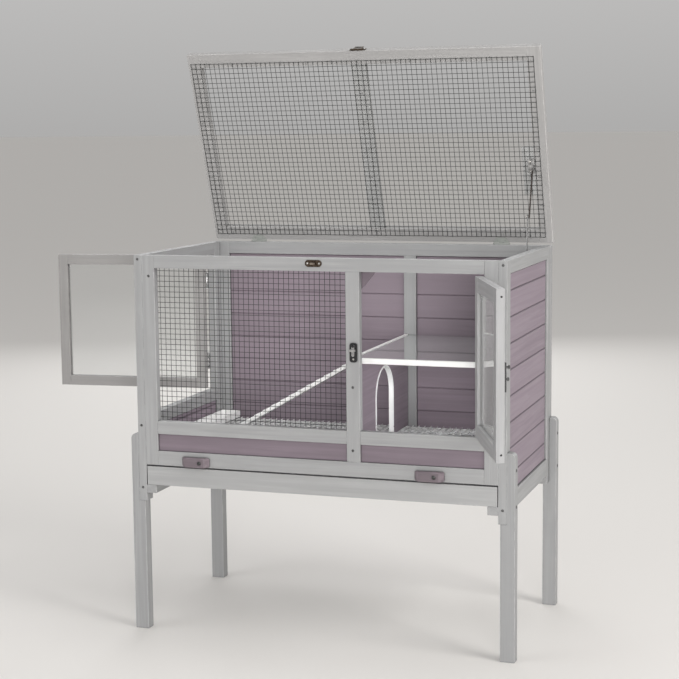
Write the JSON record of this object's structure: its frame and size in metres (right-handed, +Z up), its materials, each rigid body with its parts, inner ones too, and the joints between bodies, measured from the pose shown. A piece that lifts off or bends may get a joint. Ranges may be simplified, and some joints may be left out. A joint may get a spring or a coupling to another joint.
{
  "type": "hamster cage",
  "caption": "Wooden hamster cage on legs with a hinged wire roof lid, glazed front and side doors, inner shelf with ramp, wire floor and a slide-out tray.",
  "frame": {"origin": "on the floor, under the middle of the body", "axes": "+Z up, +X to the right seen from the front, the front with its window, door and tray faces -Y"},
  "size_m": [1.3932, 0.8161, 1.4184],
  "materials": {
    "frame_grey": "satin light grey paint over softwood",
    "leg_grey": "satin blue-grey paint over softwood",
    "mauve_board": "satin mauve paint over tongue-and-groove softwood",
    "mauve_button": "satin mauve paint",
    "inner_wood": "thin grey stain",
    "white_trim": "smooth white moulding",
    "shelf_grey": "matt grey paint",
    "ramp_white": "moulded white",
    "tray_metal": "galvanised sheet",
    "white_wire": "white powder coat",
    "black_wire": "black vinyl coat",
    "clear_pane": "clear acrylic",
    "bronze": "antique bronze plating",
    "black_latch": "black powder coat",
    "steel": "zinc plated",
    "painted_zinc": "zinc plated, painted over with the frame",
    "screw": "dark zinc"
  },
  "bodies": {
    "body_box": {"front_legs": "leg_grey", "back_legs": "leg_grey", "side_posts": "frame_grey", "side_rails": "frame_grey", "right_wall_boards": "mauve_board", "left_low_boards": "mauve_board", "back_wall_boards": "mauve_board", "back_stiles": "frame_grey", "back_rails": "frame_grey", "front_stiles": "frame_grey", "front_rails": "frame_grey", "front_centre_post": "frame_grey", "front_strip_panels": "mauve_board", "front_gussets": "mauve_board", "window_mesh": "black_wire", "inner_ledges": "inner_wood", "tray_runners": "frame_grey", "floor_grid": "white_wire", "corner_tray": "white_trim", "shelf": "shelf_grey", "shelf_edging": "white_trim", "arch_partition": "mauve_board", "arch_trim": "white_trim", "ramp": "ramp_white", "ramp_treads": "ramp_white", "turn_button_screws": "screw", "post_latch_plate": "black_latch", "door_fixed_leaves": "steel", "lid_fixed_leaves": "painted_zinc", "catch_plate": "bronze", "stay_rail_bracket": "steel", "frame_screws": "screw"},
    "lid": {"lid_stiles": "frame_grey", "lid_front_rail": "frame_grey", "lid_back_rail": "frame_grey", "lid_centre_bar": "frame_grey", "lid_mesh": "black_wire", "stay_block": "frame_grey", "lid_moving_leaves": "painted_zinc", "hasp_plate": "bronze", "stay_lid_bracket": "steel"},
    "front_door": {"front_door_stiles": "frame_grey", "front_door_rails": "frame_grey", "front_door_pane": "clear_pane", "front_door_moving_leaves": "steel", "door_latch_plate": "black_latch", "door_latch_studs": "steel"},
    "side_door": {"side_door_stiles": "frame_grey", "side_door_rails": "frame_grey", "side_door_pane": "clear_pane", "side_door_moving_leaves": "steel"},
    "tray": {"tray_front_board": "frame_grey", "tray_pan": "tray_metal"},
    "left_turn_button": {"turn_button_left": "mauve_button"},
    "right_turn_button": {"turn_button_right": "mauve_button"},
    "door_latch_lever": {"post_latch_lever": "steel"},
    "lid_catch_knob": {"catch_knob": "bronze"},
    "lid_catch_hasp": {"hasp": "bronze"},
    "stay_lower": {"stay_lower_link": "steel"},
    "stay_upper": {"stay_upper_link": "steel"}
  },
  "joints": [
    {"name": "lid_hinge", "type": "hinge", "parent": "body_box", "child": "lid", "pos_m": [0, 0.26, 0.9235], "axis": [1, 0, 0], "range_deg": [0, 70]},
    {"name": "stay_lower_pivot", "type": "hinge", "parent": "body_box", "child": "stay_lower", "pos_m": [0.418, 0.129, 0.912], "axis": [1, 0, 0], "range_deg": [0, 193.27]},
    {"name": "stay_upper_pivot", "type": "hinge", "parent": "lid", "child": "stay_upper", "pos_m": [0.4215, 0.17814, 1.11186], "axis": [1, 0, 0], "range_deg": [-9.71, 0]},
    {"name": "front_door_hinge", "type": "hinge", "parent": "body_box", "child": "front_door", "pos_m": [0.406, -0.2575, 0.7], "axis": [0, 0, 1], "range_deg": [-112.4, 45]},
    {"name": "side_door_hinge", "type": "hinge", "parent": "body_box", "child": "side_door", "pos_m": [-0.4605, 0.194, 0.7], "axis": [0, 0, -1], "range_deg": [-84.2, 60]},
    {"name": "tray_slide", "type": "slide", "parent": "body_box", "child": "tray", "axis": [0, -1, 0], "range_m": [0, 0.4]},
    {"name": "left_button_turn", "type": "hinge", "parent": "body_box", "child": "left_turn_button", "pos_m": [-0.292, -0.262, 0.425], "axis": [0, 1, 0], "range_deg": [-90, 0]},
    {"name": "right_button_turn", "type": "hinge", "parent": "body_box", "child": "right_turn_button", "pos_m": [0.29, -0.262, 0.425], "axis": [0, 1, 0], "range_deg": [-90, 0]},
    {"name": "door_latch_turn", "type": "hinge", "parent": "body_box", "child": "door_latch_lever", "pos_m": [0.096, -0.2585, 0.72], "axis": [0, 1, 0], "range_deg": [-90, 0]},
    {"name": "lid_knob_turn", "type": "hinge", "parent": "body_box", "child": "lid_catch_knob", "pos_m": [0, -0.2575, 0.909], "axis": [0, 1, 0], "range_deg": [0, 90]},
    {"name": "lid_hasp_turn", "type": "hinge", "parent": "lid", "child": "lid_catch_hasp", "pos_m": [0, 0.0833, 1.41043], "axis": [1, 0, 0], "range_deg": [0, 180]}
  ],
  "couplings": [
    {"joint": "stay_lower_pivot", "follows": "lid_hinge", "ratio": 2.7539},
    {"joint": "stay_upper_pivot", "follows": "lid_hinge", "ratio": -0.1316}
  ]
}
